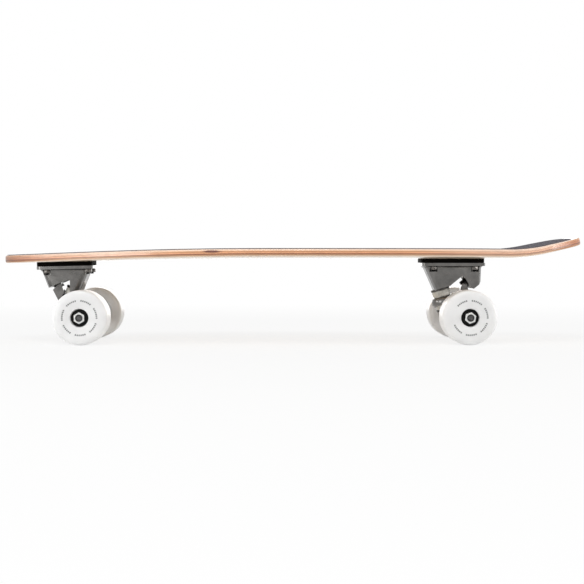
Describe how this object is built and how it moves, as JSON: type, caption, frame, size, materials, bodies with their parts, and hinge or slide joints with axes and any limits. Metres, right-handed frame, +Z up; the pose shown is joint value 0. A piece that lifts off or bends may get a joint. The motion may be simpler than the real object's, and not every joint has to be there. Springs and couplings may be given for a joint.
{
  "type": "surf skateboard",
  "caption": "Wooden surf skateboard with a kicktail, tall carving trucks on riser pads, rubber-bushed steering and free-rolling wide urethane wheels.",
  "frame": {"origin": "on the ground, under the middle of the board's length and width", "axes": "+X along the board to the kicktail, +Y to the rider's right side when facing the nose, +Z up"},
  "size_m": [0.7636, 0.248, 0.1392],
  "materials": {
    "maple": "thin satin varnish over a pale maple laminate",
    "grip": "matt grit sheet",
    "riser": "matt black moulded rubber",
    "pivot_rubber": "dense black urethane",
    "cast_metal": "tumbled casting, satin grey",
    "bushing": "pale grey cast urethane",
    "wheel_urethane": "white cast urethane, smooth",
    "bearing_shield": "black moulded shield",
    "black_steel": "blackened steel",
    "zinc": "bright zinc plating",
    "steel": "plain steel"
  },
  "bodies": {
    "board": {"deck": "maple", "grip_tape": "grip", "front_riser_pad": "riser", "front_baseplate": "cast_metal", "front_pivot_cup": "pivot_rubber", "front_kingpin": "steel", "front_kingpin_nut": "zinc", "front_upper_cup_washer": "zinc", "front_lower_cup_washer": "zinc", "front_upper_bushing": "bushing", "front_lower_bushing": "bushing", "front_outer_left_bolt": "black_steel", "front_outer_left_bolt_nut": "zinc", "front_outer_right_bolt": "black_steel", "front_outer_right_bolt_nut": "zinc", "front_inner_left_bolt": "black_steel", "front_inner_left_bolt_nut": "zinc", "front_inner_right_bolt": "black_steel", "front_inner_right_bolt_nut": "zinc", "rear_riser_pad": "riser", "rear_baseplate": "cast_metal", "rear_pivot_cup": "pivot_rubber", "rear_kingpin": "steel", "rear_kingpin_nut": "zinc", "rear_upper_cup_washer": "zinc", "rear_lower_cup_washer": "zinc", "rear_upper_bushing": "bushing", "rear_lower_bushing": "bushing", "rear_outer_left_bolt": "black_steel", "rear_outer_left_bolt_nut": "zinc", "rear_outer_right_bolt": "black_steel", "rear_outer_right_bolt_nut": "zinc", "rear_inner_left_bolt": "black_steel", "rear_inner_left_bolt_nut": "zinc", "rear_inner_right_bolt": "black_steel", "rear_inner_right_bolt_nut": "zinc"},
    "front_truck": {"front_hanger": "cast_metal", "front_axle": "steel", "front_left_axle_nut": "zinc", "front_left_bearing_spacer": "steel", "front_right_axle_nut": "zinc", "front_right_bearing_spacer": "steel"},
    "rear_truck": {"rear_hanger": "cast_metal", "rear_axle": "steel", "rear_left_axle_nut": "zinc", "rear_left_bearing_spacer": "steel", "rear_right_axle_nut": "zinc", "rear_right_bearing_spacer": "steel"},
    "front_left_wheel_set": {"front_left_wheel": "wheel_urethane", "front_left_inner_bearing": "bearing_shield", "front_left_outer_bearing": "bearing_shield"},
    "front_right_wheel_set": {"front_right_wheel": "wheel_urethane", "front_right_inner_bearing": "bearing_shield", "front_right_outer_bearing": "bearing_shield"},
    "rear_left_wheel_set": {"rear_left_wheel": "wheel_urethane", "rear_left_inner_bearing": "bearing_shield", "rear_left_outer_bearing": "bearing_shield"},
    "rear_right_wheel_set": {"rear_right_wheel": "wheel_urethane", "rear_right_inner_bearing": "bearing_shield", "rear_right_outer_bearing": "bearing_shield"}
  },
  "joints": [
    {"name": "front_steer", "type": "hinge", "parent": "board", "child": "front_truck", "pos_m": [-0.31426, 0, 0.07701], "axis": [-0.681, 0, 0.7322], "range_deg": [-25, 25], "stiffness_Nm_per_rad": 25, "deforming": ["front_upper_bushing", "front_lower_bushing"]},
    {"name": "rear_steer", "type": "hinge", "parent": "board", "child": "rear_truck", "pos_m": [0.23355, 0, 0.07899], "axis": [0.795, 0, 0.6066], "range_deg": [-15, 15], "stiffness_Nm_per_rad": 60, "deforming": ["rear_upper_bushing", "rear_lower_bushing"]},
    {"name": "front_left_roll", "type": "hinge", "parent": "front_truck", "child": "front_left_wheel_set", "pos_m": [-0.271, 0, 0.035], "axis": [0, 1, 0], "continuous": true},
    {"name": "front_right_roll", "type": "hinge", "parent": "front_truck", "child": "front_right_wheel_set", "pos_m": [-0.271, 0, 0.035], "axis": [0, 1, 0], "continuous": true},
    {"name": "rear_left_roll", "type": "hinge", "parent": "rear_truck", "child": "rear_left_wheel_set", "pos_m": [0.2255, 0, 0.035], "axis": [0, 1, 0], "continuous": true},
    {"name": "rear_right_roll", "type": "hinge", "parent": "rear_truck", "child": "rear_right_wheel_set", "pos_m": [0.2255, 0, 0.035], "axis": [0, 1, 0], "continuous": true}
  ]
}
